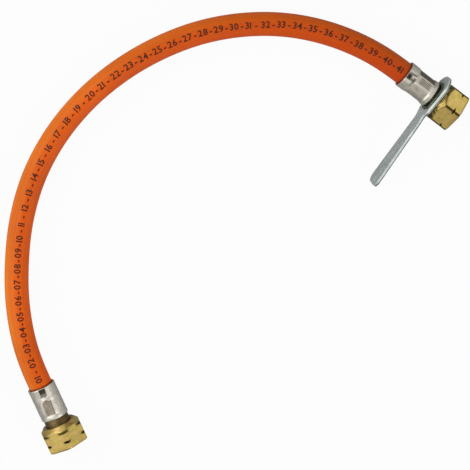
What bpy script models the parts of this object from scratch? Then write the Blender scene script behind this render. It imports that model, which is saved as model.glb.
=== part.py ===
"""Gas hose for a caravan: a stiff rubber hose with a crimped ferrule and a brass union nut at each end.

The hose lies on the floor in its own bend, seen from above as it was photographed. End a carries a hand
lever on its nut, end b has the nut alone. Each end is modelled in the frame of its fitting: X runs along
the axis of the fitting, from 0 at the mouth of the ferrule to the front of the nut, and Z points up.
The whole stands on z = 0, and its origin is the middle of the floor area that the two ends span.
"""

import math

import bmesh
import bpy
from mathutils import Vector
from mathutils.geometry import interpolate_bezier

# Clearances
GAP = 0.0003
RUNNING_CLEARANCE = 0.0004

# Hose, from the bore outwards
HOSE_BORE = 0.0080
LINING_WALL = 0.0011
BRAID_WALL = 0.0006
COVER_WALL = 0.0012
HOSE_SIDES = 12
HOSE_BEVEL_RESOLUTION = 4
HOSE_STATION_SPACING = 0.030
CRIMPED_COVER_SHARE = 0.45

# Ferrule
FERRULE_LENGTH = 0.0215
FERRULE_WALL = 0.0010
FERRULE_LIP = 0.0010
FERRULE_RIM = 0.0020
FERRULE_SEGMENTS = 40
BELL_LENGTH = 0.0070
CRIMP_JAWS = 8
RIDGE_HEIGHT = 0.00035
RIM_HEIGHT = 0.0006
POCKET_DEPTH = 0.0005
CRIMP_SLOPE = 0.0009

# Hose tail
STEM_INSET = 0.0010
STEM_WALL = 0.0009
BARB_HEIGHT = 0.0004
BARB_PITCH = 0.0034
LOCK_GROOVE_STEP = 0.0007
LOCK_FLANGE_STEP = 0.0012
LOCK_FLANGE_THICKNESS = 0.0006
NECK_SHOWING = 0.0042
HEAD_THICKNESS = 0.0022
HEAD_LEDGE = 0.0009
SPIGOT_RADIUS = 0.0045
SPIGOT_LENGTH = 0.0012
TAIL_SEGMENTS = 24

# Sealing washer
WASHER_THICKNESS = 0.0018

# Union nut, with a left-hand half-inch gas thread of 14 turns to the inch
THREAD_DIAMETER = 0.020955
THREAD_PITCH = 0.0254 / 14
THREAD_DEPTH = 0.64 * THREAD_PITCH
THREAD_ROWS_PER_TURN = 5
THREAD_SEGMENTS = 24
THREAD_RELIEF = 0.0014
NUT_ACROSS_FLATS = 0.0250
NUT_LENGTH = 0.0156
NUT_SHOULDER = 0.0026
NUT_BACK_CHAMFER = 0.0023
NUT_FRONT_CHAMFER = 0.0009
BACK_CONE_SLOPE = math.tan(math.radians(45))
FRONT_CONE_SLOPE = math.tan(math.radians(30))
NOTCH_FROM_FRONT = 0.0050
NOTCH_WIDTH = 0.0020
NOTCH_DEPTH = 0.0014
ENVELOPE_SEGMENTS = 48

# Boss on the back of nut a, staked over the lever
BOSS_WALL = 0.0013
BOSS_FLAT_DEPTH = 0.0005
STAKED_LIP = 0.0006
STAKED_THICKNESS = 0.0006

# Hand lever
LEVER_THICKNESS = 0.0020
LEVER_LENGTH = 0.0670
LEVER_WIDTH = 0.0165
LEVER_FILLET = 0.0100
LEVER_TIP_CORNER = 0.0050
LEVER_EDGE_BEVEL = 0.0003
LEVER_RING_BAND = 0.0053
LEVER_FLAT_BAND = 0.0027
LEVER_BENDS = [(0.0115, 5.0), (0.0130, 5.0), (0.0165, -3.0), (0.0180, -3.5)]
LEVER_TWIST = 5.5
LEVER_TWIST_LINES = 4

# Places of the two ferrule mouths on the floor, and the directions in which the fittings point
MOUTH_A = (0.09832, 0.11377)
MOUTH_B = (-0.13076, -0.07761)
HEADING_A = math.radians(-38.0)
HEADING_B = math.radians(-66.0)

# Route of the free hose from mouth a to mouth b, with the height of each point as a share of the way
# from lying on the floor up to the axis of the fittings
LEAD_OUT = 0.0040
ROUTE = [
    (0.0773, 0.1281, 0.86),
    (0.0520, 0.1391, 0.52),
    (0.0250, 0.1450, 0.17),
    (-0.0026, 0.1455, 0.0),
    (-0.0299, 0.1410, 0.0),
    (-0.0559, 0.1315, 0.0),
    (-0.0800, 0.1178, 0.0),
    (-0.1014, 0.1002, 0.0),
    (-0.1192, 0.0790, 0.0),
    (-0.1326, 0.0548, 0.0),
    (-0.1408, 0.0284, 0.0),
    (-0.1444, 0.0010, 0.17),
    (-0.1444, -0.0266, 0.52),
    (-0.1397, -0.0538, 0.86),
]
CURVE_STEPS = 24

# Sizes that follow from the ones above
LINING_RADIUS = HOSE_BORE / 2 + LINING_WALL
BRAID_BORE_RADIUS = LINING_RADIUS + GAP
BRAID_RADIUS = BRAID_BORE_RADIUS + BRAID_WALL
COVER_BORE_RADIUS = BRAID_RADIUS + GAP
HOSE_RADIUS = COVER_BORE_RADIUS + COVER_WALL
CRIMPED_HOSE_RADIUS = COVER_BORE_RADIUS + COVER_WALL * CRIMPED_COVER_SHARE

BELL_BORE_RADIUS = HOSE_RADIUS + GAP
BELL_RADIUS = BELL_BORE_RADIUS + FERRULE_WALL
CRIMP_BORE_RADIUS = CRIMPED_HOSE_RADIUS + GAP
FLAT_RADIUS = CRIMP_BORE_RADIUS + FERRULE_WALL
RIDGE_RADIUS = FLAT_RADIUS + RIDGE_HEIGHT
RIM_RADIUS = FLAT_RADIUS + RIM_HEIGHT

BARB_RADIUS = HOSE_BORE / 2 * math.cos(math.pi / HOSE_SIDES) - GAP
STEM_RADIUS = BARB_RADIUS - BARB_HEIGHT
GAS_BORE_RADIUS = STEM_RADIUS - STEM_WALL
GROOVE_RADIUS = HOSE_BORE / 2 + LOCK_GROOVE_STEP
LOCK_FLANGE_RADIUS = GROOVE_RADIUS + LOCK_FLANGE_STEP
LIP_START = FERRULE_LENGTH - FERRULE_LIP
LOCK_FLANGE_END = LIP_START - GAP
LOCK_FLANGE_START = LOCK_FLANGE_END - LOCK_FLANGE_THICKNESS
HOSE_END = LOCK_FLANGE_START - GAP

THREAD_MAJOR_RADIUS = THREAD_DIAMETER / 2
THREAD_MINOR_RADIUS = THREAD_MAJOR_RADIUS - THREAD_DEPTH
HEAD_RADIUS = THREAD_MINOR_RADIUS * math.cos(math.pi / THREAD_SEGMENTS) - RUNNING_CLEARANCE
NECK_RADIUS = HEAD_RADIUS - HEAD_LEDGE
NUT_HOLE_RADIUS = NECK_RADIUS + RUNNING_CLEARANCE
NUT_CORNER_RADIUS = NUT_ACROSS_FLATS / 2 / math.cos(math.pi / 6)
NUT_BACK_RADIUS = NUT_ACROSS_FLATS / 2 - NUT_BACK_CHAMFER
NUT_FRONT_RADIUS = NUT_CORNER_RADIUS - NUT_FRONT_CHAMFER

NECK_START = FERRULE_LENGTH + GAP
HEXAGON_START = NECK_START + NECK_SHOWING
NUT_FRONT = HEXAGON_START + NUT_LENGTH
LEVER_BACK = HEXAGON_START - GAP - LEVER_THICKNESS
STAKED_FACE = LEVER_BACK - GAP
BOSS_START = STAKED_FACE - STAKED_THICKNESS
SHOULDER_END = HEXAGON_START + NUT_SHOULDER
HEAD_START = SHOULDER_END + GAP
HEAD_END = HEAD_START + HEAD_THICKNESS
WASHER_START = HEAD_END + GAP
WASHER_END = WASHER_START + WASHER_THICKNESS

BOSS_RADIUS = NUT_HOLE_RADIUS + BOSS_WALL
BOSS_FLAT = BOSS_RADIUS - BOSS_FLAT_DEPTH
LEVER_HOLE_RADIUS = BOSS_RADIUS + GAP
LEVER_HOLE_FLAT = BOSS_FLAT + GAP
LEVER_RING_RADIUS = LEVER_HOLE_RADIUS + LEVER_RING_BAND
LEVER_RING_FLAT = LEVER_HOLE_FLAT + LEVER_FLAT_BAND
TIP_CORNER = min(LEVER_TIP_CORNER, LEVER_WIDTH / 2)

AXIS_HEIGHT = NUT_CORNER_RADIUS

CUT_MARGIN = 0.0010
SMOOTH_ANGLE = math.radians(30)


def clear_scene():
    for item in list(bpy.data.objects):
        bpy.data.objects.remove(item, do_unlink=True)


def finish(name, colour, roughness, metallic=0.0):
    """A Principled material."""
    material = bpy.data.materials.new(name)
    material.use_nodes = True
    shader = material.node_tree.nodes["Principled BSDF"]
    shader.inputs["Base Color"].default_value = (*colour, 1.0)
    shader.inputs["Roughness"].default_value = roughness
    shader.inputs["Metallic"].default_value = metallic
    material.diffuse_color = (*colour, 1.0)
    return material


def orange_rubber(name):
    return finish(name, (0.72, 0.17, 0.03), 0.45)


def pale_textile(name):
    return finish(name, (0.75, 0.72, 0.62), 0.9)


def black_rubber(name):
    return finish(name, (0.02, 0.02, 0.02), 0.6)


def brass(name):
    return finish(name, (0.60, 0.47, 0.17), 0.3, 1.0)


def plated_steel(name):
    return finish(name, (0.62, 0.60, 0.55), 0.35, 1.0)


def zinc_plate(name):
    return finish(name, (0.42, 0.46, 0.48), 0.4, 1.0)


# Shapes

def rings_round_x(bm, rings, segments):
    """Rows of vertices round X. Each ring is an x and a radius, or a function of the angle."""
    rows = []
    for x, radius in rings:
        row = []
        for segment in range(segments):
            angle = 2 * math.pi * segment / segments
            r = radius(angle) if callable(radius) else radius
            row.append(bm.verts.new((x, r * math.cos(angle), r * math.sin(angle))))
        rows.append(row)
    return rows


def join_rows(bm, row, following):
    for corner in range(len(row)):
        bm.faces.new((row[corner - 1], row[corner], following[corner], following[corner - 1]))


def closed_mesh(name, bm):
    bmesh.ops.recalc_face_normals(bm, faces=bm.faces)
    mesh = bpy.data.meshes.new(name)
    bm.to_mesh(mesh)
    bm.free()
    return mesh


def turned_ring(name, rings, segments):
    """A ring of closed section, turned round X."""
    bm = bmesh.new()
    rows = rings_round_x(bm, rings, segments)
    for row, following in zip(rows, rows[1:] + rows[:1]):
        join_rows(bm, row, following)
    return closed_mesh(name, bm)


def turned_solid(name, rings, segments):
    """A solid turned round X, with a flat face at each end."""
    bm = bmesh.new()
    rows = rings_round_x(bm, rings, segments)
    for row, following in zip(rows, rows[1:]):
        join_rows(bm, row, following)
    bm.faces.new(rows[0])
    bm.faces.new(rows[-1])
    return closed_mesh(name, bm)


def add_object(name, mesh, parent=None, material=None):
    item = bpy.data.objects.new(name, mesh)
    bpy.context.collection.objects.link(item)
    item.parent = parent
    if material:
        mesh.materials.append(material)
        mesh.shade_smooth()
        mesh.set_sharp_from_angle(angle=SMOOTH_ANGLE)
    return item


def cut(item, operation, mesh):
    """Cut the item with a hidden mesh that shares its frame."""
    cutter = add_object(mesh.name, mesh, item.parent)
    cutter.rotation_euler = item.rotation_euler
    cutter.hide_render = True
    cutter.display_type = "WIRE"
    modifier = item.modifiers.new(operation.title(), "BOOLEAN")
    modifier.operation = operation
    modifier.object = cutter
    modifier.solver = "EXACT"


# Fittings

def fitting_frame(end, mouth, heading):
    """An empty at the mouth of the ferrule, whose X axis is the axis of the fitting."""
    frame = add_object("fitting_" + end, None)
    frame.location = (*mouth, AXIS_HEIGHT)
    frame.rotation_euler.z = heading
    frame.empty_display_size = 0.02
    return frame


def pressed(round_radius, flat_radius):
    """Radius by angle of a round shell that the jaws have pressed flat."""
    def radius(angle):
        jaw = 2 * math.pi / CRIMP_JAWS
        from_jaw_middle = (angle + jaw / 2) % jaw - jaw / 2
        return min(round_radius, flat_radius / math.cos(from_jaw_middle))
    return radius


def add_ferrule(end, frame):
    pocket_start = CRIMP_SLOPE
    pocket_end = BELL_LENGTH - CRIMP_SLOPE
    crimp_start = BELL_LENGTH + CRIMP_SLOPE
    crimp_end = FERRULE_LENGTH - FERRULE_RIM - CRIMP_SLOPE
    pocket = pressed(BELL_RADIUS, BELL_RADIUS - POCKET_DEPTH)
    crimp = pressed(RIDGE_RADIUS, FLAT_RADIUS)
    outside = [
        (0.0, BELL_RADIUS),
        (pocket_start, BELL_RADIUS),
        (pocket_start + CRIMP_SLOPE, pocket),
        (pocket_end - CRIMP_SLOPE, pocket),
        (pocket_end, RIM_RADIUS),
        (BELL_LENGTH, RIM_RADIUS),
        (crimp_start, crimp),
        (crimp_end, crimp),
        (FERRULE_LENGTH - FERRULE_RIM, RIM_RADIUS),
        (FERRULE_LENGTH - GAP, RIM_RADIUS),
        (FERRULE_LENGTH, RIM_RADIUS - GAP),
    ]
    inside = [
        (FERRULE_LENGTH, GROOVE_RADIUS + GAP),
        (LIP_START, GROOVE_RADIUS + GAP),
        (LIP_START, CRIMP_BORE_RADIUS),
        (crimp_start, CRIMP_BORE_RADIUS),
        (BELL_LENGTH - CRIMP_SLOPE, BELL_BORE_RADIUS),
        (0.0, BELL_BORE_RADIUS),
    ]
    name = "ferrule_" + end
    mesh = turned_ring(name, outside + inside, FERRULE_SEGMENTS)
    add_object(name, mesh, frame, plated_steel(name))


def barbed_stem():
    """Outline of the stem inside the hose: teeth that let the hose on and hold it there."""
    outline = [(STEM_INSET, STEM_RADIUS)]
    tooth_start = STEM_INSET
    while tooth_start + BARB_PITCH < LOCK_FLANGE_START:
        tooth_end = tooth_start + BARB_PITCH
        outline.append((tooth_end - GAP, BARB_RADIUS))
        outline.append((tooth_end, STEM_RADIUS))
        tooth_start = tooth_end
    return outline


def add_hose_tail(end, frame):
    outline = barbed_stem() + [
        (LOCK_FLANGE_START, STEM_RADIUS),
        (LOCK_FLANGE_START, LOCK_FLANGE_RADIUS),
        (LOCK_FLANGE_END, LOCK_FLANGE_RADIUS),
        (LOCK_FLANGE_END, GROOVE_RADIUS),
        (NECK_START, GROOVE_RADIUS),
        (NECK_START, NECK_RADIUS - GAP),
        (NECK_START + GAP, NECK_RADIUS),
        (HEAD_START, NECK_RADIUS),
        (HEAD_START, HEAD_RADIUS),
        (HEAD_END, HEAD_RADIUS),
        (HEAD_END, SPIGOT_RADIUS),
        (HEAD_END + SPIGOT_LENGTH, SPIGOT_RADIUS - GAP),
        (HEAD_END + SPIGOT_LENGTH, GAS_BORE_RADIUS),
        (STEM_INSET, GAS_BORE_RADIUS),
    ]
    name = "hose_tail_" + end
    add_object(name, turned_ring(name, outline, TAIL_SEGMENTS), frame, brass(name))


def add_sealing_washer(end, frame):
    bore = SPIGOT_RADIUS / math.cos(math.pi / TAIL_SEGMENTS) + GAP
    outline = [
        (WASHER_START, bore),
        (WASHER_START, HEAD_RADIUS),
        (WASHER_END, HEAD_RADIUS),
        (WASHER_END, bore),
    ]
    name = "sealing_washer_" + end
    add_object(name, turned_ring(name, outline, TAIL_SEGMENTS), frame, black_rubber(name))


def hexagon_bar(name):
    """The bar that the nut is cut from, with a corner at the top."""
    bm = bmesh.new()
    ends = []
    for x in (HEXAGON_START, NUT_FRONT):
        corners = [math.radians(30 + 60 * corner) for corner in range(6)]
        ends.append([
            bm.verts.new((x, NUT_CORNER_RADIUS * math.cos(angle), NUT_CORNER_RADIUS * math.sin(angle)))
            for angle in corners
        ])
    join_rows(bm, *ends)
    bm.faces.new(ends[0])
    bm.faces.new(ends[1])
    return closed_mesh(name, bm)


def nut_envelope(name):
    """The turned shape of the nut: back chamfer, notch across the corners and front chamfer."""
    beyond = NUT_CORNER_RADIUS + CUT_MARGIN
    notch_root = NUT_CORNER_RADIUS - NOTCH_DEPTH
    notch_middle = NUT_FRONT - NOTCH_FROM_FRONT
    notch_half = NOTCH_WIDTH / 2 * (beyond - notch_root) / NOTCH_DEPTH
    outline = [
        (HEXAGON_START, NUT_BACK_RADIUS),
        (HEXAGON_START + (beyond - NUT_BACK_RADIUS) * BACK_CONE_SLOPE, beyond),
        (notch_middle - notch_half, beyond),
        (notch_middle, notch_root),
        (notch_middle + notch_half, beyond),
        (NUT_FRONT - (beyond - NUT_FRONT_RADIUS) * FRONT_CONE_SLOPE, beyond),
        (NUT_FRONT, NUT_FRONT_RADIUS),
    ]
    return turned_solid(name, outline, ENVELOPE_SEGMENTS)


def thread_radius(x):
    """Radius by angle of the left-hand thread at x."""
    def radius(angle):
        turn = ((x - SHOULDER_END) / THREAD_PITCH + angle / (2 * math.pi)) % 1.0
        height = min(1.0, max(0.0, 1.5 - 4 * abs(turn - 0.5)))
        return THREAD_MINOR_RADIUS + THREAD_DEPTH * height
    return radius


def socket(name):
    """The inside of the nut: hole for the neck, relief, thread and a chamfered mouth."""
    thread_start = SHOULDER_END + THREAD_RELIEF
    row_spacing = THREAD_PITCH / THREAD_ROWS_PER_TURN
    thread_rows = math.floor((NUT_FRONT - thread_start - THREAD_DEPTH) / row_spacing)
    outline = [
        (BOSS_START - CUT_MARGIN, NUT_HOLE_RADIUS),
        (SHOULDER_END, NUT_HOLE_RADIUS),
        (SHOULDER_END, THREAD_MAJOR_RADIUS),
        (thread_start, THREAD_MAJOR_RADIUS),
    ]
    for row in range(1, thread_rows + 1):
        x = thread_start + row * row_spacing
        outline.append((x, thread_radius(x)))
    outline.append((NUT_FRONT, THREAD_MAJOR_RADIUS + GAP))
    outline.append((NUT_FRONT + CUT_MARGIN, THREAD_MAJOR_RADIUS + CUT_MARGIN))
    return turned_solid(name, outline, THREAD_SEGMENTS)


def collar(angle):
    """Radius by angle of the boss, with its two flats along the handle of the lever."""
    rise = abs(math.sin(angle - lever_drop()))
    return BOSS_FLAT / rise if BOSS_RADIUS * rise > BOSS_FLAT else BOSS_RADIUS


def boss(name):
    """The boss that carries the lever: a staked rim, and two flats that stop the lever from turning."""
    outline = [
        (BOSS_START, BOSS_RADIUS + STAKED_LIP),
        (STAKED_FACE, BOSS_RADIUS + STAKED_LIP),
        (STAKED_FACE, collar),
        (HEXAGON_START + CUT_MARGIN, collar),
    ]
    return turned_solid(name, outline, ENVELOPE_SEGMENTS)


def add_union_nut(end, frame, with_boss):
    name = "union_nut_" + end
    nut = add_object(name, hexagon_bar(name), frame, brass(name))
    cut(nut, "INTERSECT", nut_envelope(name + "_envelope"))
    if with_boss:
        cut(nut, "UNION", boss(name + "_boss"))
    cut(nut, "DIFFERENCE", socket(name + "_socket"))


# Hand lever

def lever_drop():
    """Angle below level at which the lower corner of the tip touches the floor."""
    along = LEVER_LENGTH - TIP_CORNER
    across = LEVER_WIDTH / 2 - TIP_CORNER
    down = AXIS_HEIGHT - TIP_CORNER
    return math.asin(down / math.hypot(along, across)) - math.atan2(across, along)


def arc(centre, radius, start, end, steps):
    """Points of an arc in the plane, both ends included."""
    points = []
    for step in range(steps + 1):
        angle = start + (end - start) * step / steps
        points.append((centre[0] + radius * math.cos(angle), centre[1] + radius * math.sin(angle)))
    return points


def flattened(loop, flat):
    """The loop with two flats along the handle."""
    return [(along, max(-flat, min(flat, across))) for along, across in loop]


def lever_outline():
    """Outline of the flat lever: distances along the handle and across it, from the axis of the nut."""
    half = LEVER_WIDTH / 2
    across = half + LEVER_FILLET
    along = math.sqrt((LEVER_RING_RADIUS + LEVER_FILLET) ** 2 - across ** 2)
    ring_angle = math.atan2(across, along)
    corner_along = LEVER_LENGTH - TIP_CORNER
    corner_across = half - TIP_CORNER
    quarter = math.pi / 2
    outline = arc((0.0, 0.0), LEVER_RING_RADIUS, ring_angle, 2 * math.pi - ring_angle, 40)
    outline += arc((along, -across), LEVER_FILLET, math.pi - ring_angle, quarter, 6)[1:]
    outline += arc((corner_along, -corner_across), TIP_CORNER, -quarter, 0.0, 6)
    outline += arc((corner_along, corner_across), TIP_CORNER, 0.0, quarter, 6)
    outline += arc((along, across), LEVER_FILLET, -quarter, ring_angle - math.pi, 6)[:-1]
    return flattened(outline, LEVER_RING_FLAT)


def lever_hole():
    """The hole for the boss."""
    return flattened(arc((0.0, 0.0), LEVER_HOLE_RADIUS, 0.0, 2 * math.pi, 36)[1:], LEVER_HOLE_FLAT)


def bend_handle(bm):
    """Bend the handle towards the nut, a little at each of a few lines across it, and twist the rest."""
    twist_start = LEVER_BENDS[-1][0]
    twist_length = LEVER_LENGTH - twist_start
    spacing = twist_length / (LEVER_TWIST_LINES + 1)
    lines = [start for start, _ in LEVER_BENDS]
    lines += [twist_start + spacing * (line + 1) for line in range(LEVER_TWIST_LINES)]
    for start in lines:
        everything = bm.verts[:] + bm.edges[:] + bm.faces[:]
        bmesh.ops.bisect_plane(bm, geom=everything, plane_co=(0, -start, 0), plane_no=(0, -1, 0))
    for vertex in bm.verts:
        lift = slope = 0.0
        reached = 0.0
        for start, change in LEVER_BENDS + [(LEVER_LENGTH, 0.0)]:
            lift += max(0.0, min(-vertex.co.y, start) - reached) * math.tan(math.radians(slope))
            slope += change
            reached = start
        twist = max(0.0, -vertex.co.y - twist_start) / twist_length * math.radians(LEVER_TWIST)
        vertex.co.x += lift + vertex.co.z * math.tan(twist)


def add_lever(frame):
    """The lever lies in the plane across the axis. Its handle runs along -Y before it drops."""
    bm = bmesh.new()
    edges = []
    middle = LEVER_BACK + LEVER_THICKNESS / 2
    for loop in (lever_outline(), lever_hole()):
        verts = [bm.verts.new((middle, -u, v)) for u, v in loop]
        edges += [bm.edges.new((verts[corner - 1], verts[corner])) for corner in range(len(verts))]
    bmesh.ops.triangle_fill(bm, edges=edges, use_beauty=True)
    bend_handle(bm)
    bmesh.ops.dissolve_limit(bm, angle_limit=math.radians(0.1), verts=bm.verts, edges=bm.edges)
    mesh = closed_mesh("hand_lever", bm)
    lever = add_object("hand_lever", mesh, frame, zinc_plate("hand_lever"))
    lever.rotation_euler.x = lever_drop()
    plate = lever.modifiers.new("Plate", "SOLIDIFY")
    plate.thickness = LEVER_THICKNESS
    plate.offset = 0.0
    edge = lever.modifiers.new("Edge", "BEVEL")
    edge.width = LEVER_EDGE_BEVEL
    edge.segments = 1
    edge.limit_method = "ANGLE"
    edge.angle_limit = math.radians(60)


# Hose

def on_axis(frame, x):
    """A point on the axis of a fitting, in the world."""
    heading = frame.rotation_euler.z
    return frame.location + Vector((math.cos(heading), math.sin(heading), 0.0)) * x


def route_points(frame_a, frame_b):
    """The route of the hose: through ferrule a, along the floor and back up through ferrule b."""
    points = [on_axis(frame_a, x) for x in (HOSE_END, 0.0, -LEAD_OUT)]
    for x, y, share in ROUTE:
        points.append(Vector((x, y, HOSE_RADIUS + share * (AXIS_HEIGHT - HOSE_RADIUS))))
    return points + [on_axis(frame_b, x) for x in (-LEAD_OUT, 0.0, HOSE_END)]


def smooth_curve(points):
    """A dense smooth curve through the points."""
    spans = [after - before for before, after in zip(points, points[1:])]
    slopes = [span.normalized() for span in spans]
    tangents = [slopes[0]]
    for left, right, before, after in zip(spans, spans[1:], slopes, slopes[1:]):
        tangents.append((before * right.length + after * left.length) / (left.length + right.length))
    tangents.append(slopes[-1])
    curve = [points[0]]
    for number, span in enumerate(spans):
        reach = span.length / 3
        start, end = points[number], points[number + 1]
        handles = start + tangents[number] * reach, end - tangents[number + 1] * reach
        curve += interpolate_bezier(start, *handles, end, CURVE_STEPS)[1:]
    return curve


def point_at(curve, distance):
    """The point of the curve at a distance from its start."""
    for start, end in zip(curve, curve[1:]):
        span = (end - start).length
        if distance <= span:
            return start.lerp(end, distance / span)
        distance -= span
    return curve[-1]


def hose_stations(curve):
    """Points of the tube, each with its share of the full radius: close in the ferrules, wide between."""
    length = sum((end - start).length for start, end in zip(curve, curve[1:]))
    crimped = CRIMPED_HOSE_RADIUS / HOSE_RADIUS
    ferrule = [
        (0.0, crimped),
        (HOSE_END - BELL_LENGTH - CRIMP_SLOPE, crimped),
        (HOSE_END - BELL_LENGTH + CRIMP_SLOPE, 1.0),
        (HOSE_END, 1.0),
    ]
    free_start = HOSE_END + LEAD_OUT
    spans = round((length - 2 * free_start) / HOSE_STATION_SPACING)
    spacing = (length - 2 * free_start) / spans
    stations = ferrule + [(free_start + span * spacing, 1.0) for span in range(spans + 1)]
    stations += [(length - distance, share) for distance, share in reversed(ferrule)]
    return [(point_at(curve, distance), share) for distance, share in stations]


def tube_mesh(name, stations, radius):
    """Mesh of a round tube with closed ends, from a curve through the stations."""
    curve = bpy.data.curves.new(name, "CURVE")
    curve.dimensions = "3D"
    curve.twist_mode = "Z_UP"
    curve.bevel_depth = radius
    curve.bevel_resolution = HOSE_BEVEL_RESOLUTION
    curve.use_fill_caps = True
    spline = curve.splines.new("POLY")
    spline.points.add(len(stations) - 1)
    for point, (place, share) in zip(spline.points, stations):
        point.co = (*place, 1.0)
        point.radius = share
    guide = bpy.data.objects.new(name, curve)
    bpy.context.collection.objects.link(guide)
    mesh = bpy.data.meshes.new_from_object(guide.evaluated_get(bpy.context.evaluated_depsgraph_get()))
    bpy.data.objects.remove(guide)
    mesh.name = name
    return mesh


def add_hose_layer(name, stations, radius, bore_radius, material, crimped=False):
    """A layer of the hose, with a plainer tube cut out of it. Only the cover gives way to the crimp."""
    outside = stations if crimped else [(place, 1.0) for place, share in stations]
    layer = add_object(name, tube_mesh(name, outside, radius), None, material(name))
    inside = [(place, 1.0) for place, share in stations]
    for end, neighbour in ((0, 1), (-1, -2)):
        outward = (inside[end][0] - inside[neighbour][0]).normalized()
        inside[end] = (inside[end][0] + outward * CUT_MARGIN, 1.0)
    cut(layer, "DIFFERENCE", tube_mesh(name + "_bore", inside, bore_radius))


def add_hose(frame_a, frame_b):
    stations = hose_stations(smooth_curve(route_points(frame_a, frame_b)))
    add_hose_layer("hose_cover", stations, HOSE_RADIUS, COVER_BORE_RADIUS, orange_rubber, crimped=True)
    add_hose_layer("hose_reinforcement", stations, BRAID_RADIUS, BRAID_BORE_RADIUS, pale_textile)
    add_hose_layer("hose_lining", stations, LINING_RADIUS, HOSE_BORE / 2, black_rubber)


def main():
    clear_scene()
    frame_a = fitting_frame("a", MOUTH_A, HEADING_A)
    frame_b = fitting_frame("b", MOUTH_B, HEADING_B)
    add_hose(frame_a, frame_b)
    for end, frame in (("a", frame_a), ("b", frame_b)):
        add_ferrule(end, frame)
        add_hose_tail(end, frame)
        add_sealing_washer(end, frame)
        add_union_nut(end, frame, with_boss=end == "a")
    add_lever(frame_a)


main()
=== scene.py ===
"""A caravan gas hose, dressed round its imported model: rubber hose, crimped ferrules, brass nuts, hand lever.

Each end is made in the frame of its fitting: X runs along the axis from the mouth of the ferrule, and Z
points up. Lengths are in metres and angles in degrees, unless a comment says more. End a has the lever.
"""

from bisect import bisect_right
from math import atan2, cos, degrees, exp, hypot, pi, radians, sin, sqrt, tan

import bmesh
import bpy
from mathutils import Matrix, Vector
from mathutils.geometry import interpolate_bezier


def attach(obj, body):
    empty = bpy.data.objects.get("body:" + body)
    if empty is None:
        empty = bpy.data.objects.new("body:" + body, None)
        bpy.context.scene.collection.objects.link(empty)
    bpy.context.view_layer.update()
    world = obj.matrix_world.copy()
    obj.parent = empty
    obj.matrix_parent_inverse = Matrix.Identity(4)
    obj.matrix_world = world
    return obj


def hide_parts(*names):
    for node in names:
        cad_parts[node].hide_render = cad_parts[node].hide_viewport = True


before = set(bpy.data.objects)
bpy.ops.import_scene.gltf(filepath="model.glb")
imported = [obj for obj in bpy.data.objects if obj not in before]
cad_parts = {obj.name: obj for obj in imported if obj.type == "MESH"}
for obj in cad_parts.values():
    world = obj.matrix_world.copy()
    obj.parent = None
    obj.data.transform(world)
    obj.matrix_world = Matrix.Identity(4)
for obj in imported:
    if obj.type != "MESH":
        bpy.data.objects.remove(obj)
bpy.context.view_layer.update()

# Fittings and route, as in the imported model
AXIS_HEIGHT = 0.0144338
MOUTHS = {"a": (0.09832, 0.11377), "b": (-0.13076, -0.07761)}
HEADINGS = {"a": -38.0, "b": -66.0}
# x, y, and how far the middle line has risen, from 0 on the floor to 1 at the height of the fittings
ROUTE = [
    (0.0773, 0.1281, 0.86), (0.0520, 0.1391, 0.52), (0.0250, 0.1450, 0.17), (-0.0026, 0.1455, 0.0),
    (-0.0299, 0.1410, 0.0), (-0.0559, 0.1315, 0.0), (-0.0800, 0.1178, 0.0), (-0.1014, 0.1002, 0.0),
    (-0.1192, 0.0790, 0.0), (-0.1326, 0.0548, 0.0), (-0.1408, 0.0284, 0.0), (-0.1444, 0.0010, 0.17),
    (-0.1444, -0.0266, 0.52), (-0.1397, -0.0538, 0.86),
]
LEAD_OUT = 0.0040

# Hose
HOSE_LENGTH = 0.450
HOSE_RADIUS = 0.0075
# Node, piece, finish, outer and inner radius
HOSE_LAYERS = [
    ("hose_cover", "hose_cover_rubber", "cover_rubber", HOSE_RADIUS, 0.0063),
    ("hose_reinforcement", "hose_reinforcement_braid", "textile", 0.0060, 0.0054),
    ("hose_lining", "hose_lining_rubber", "lining_rubber", 0.0051, 0.0040),
]
HOSE_STEP = 0.0025
HOSE_COLUMNS = 72
HOSE_HELD = 0.0193
CRIMPED_RADIUS = 0.00684
# Inside a ferrule the crimp ends here, over this slope, and these rows follow it
CRIMP_EDGE = 0.0115
CRIMP_SLOPE = 0.0018
CRIMP_ROWS = (0.0005, 0.0113, 0.0119, 0.0125, 0.0131)

# Print: the marks drift round the hose as the hose twists. Distance from end a, angle from the top
PRINT_SIZE = 0.0058
PRINT_BOLD = 0.00014
PRINT_PITCH = 0.0100
PRINT_FIRST = 0.65
PRINT_HALF = 0.00003
PRINT_GAP = 0.0005
PRINT_EDGE = 0.0007
PRINT_DRIFT = [
    (0.0, 7.0), (0.05, 5.0), (0.08, 10.0), (0.10, 10.0), (0.12, 3.0), (0.15, 7.0), (0.18, 5.0), (0.20, 8.0),
    (0.24, 11.0), (0.27, 11.0), (0.30, 6.5), (0.36, 4.0), (0.39, 0.0), (0.45, 0.0),
]

# Ferrules
FERRULE_LENGTH = 0.0215
BELL_LENGTH = 0.0070
BELL_RADIUS = 0.0088
BELL_BORE = 0.0078
CRIMP_BORE = 0.00714
RIDGE_RADIUS = 0.00849
FLAT_RADIUS = 0.00814
RIM_RADIUS = 0.00874
LIP_START = 0.0205
LIP_BORE = 0.0050
CRIMP_END = 0.0184
FERRULE_ROWS = 86
FERRULE_COLUMNS = 288
JAWS = 8
JAW_PITCH = 360.0 / JAWS
PANEL_DEPTH = 0.00030
ARCH_RISE = 0.00012
POCKET_DEPTH = 0.00050
TEETH_DEPTH = 0.00012
DENT_DEPTH = 0.00050
FLUTE_DEPTH = 0.00020
FLUTE_PITCH = 7.2
SIDE_RIDGE = 0.00012

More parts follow.
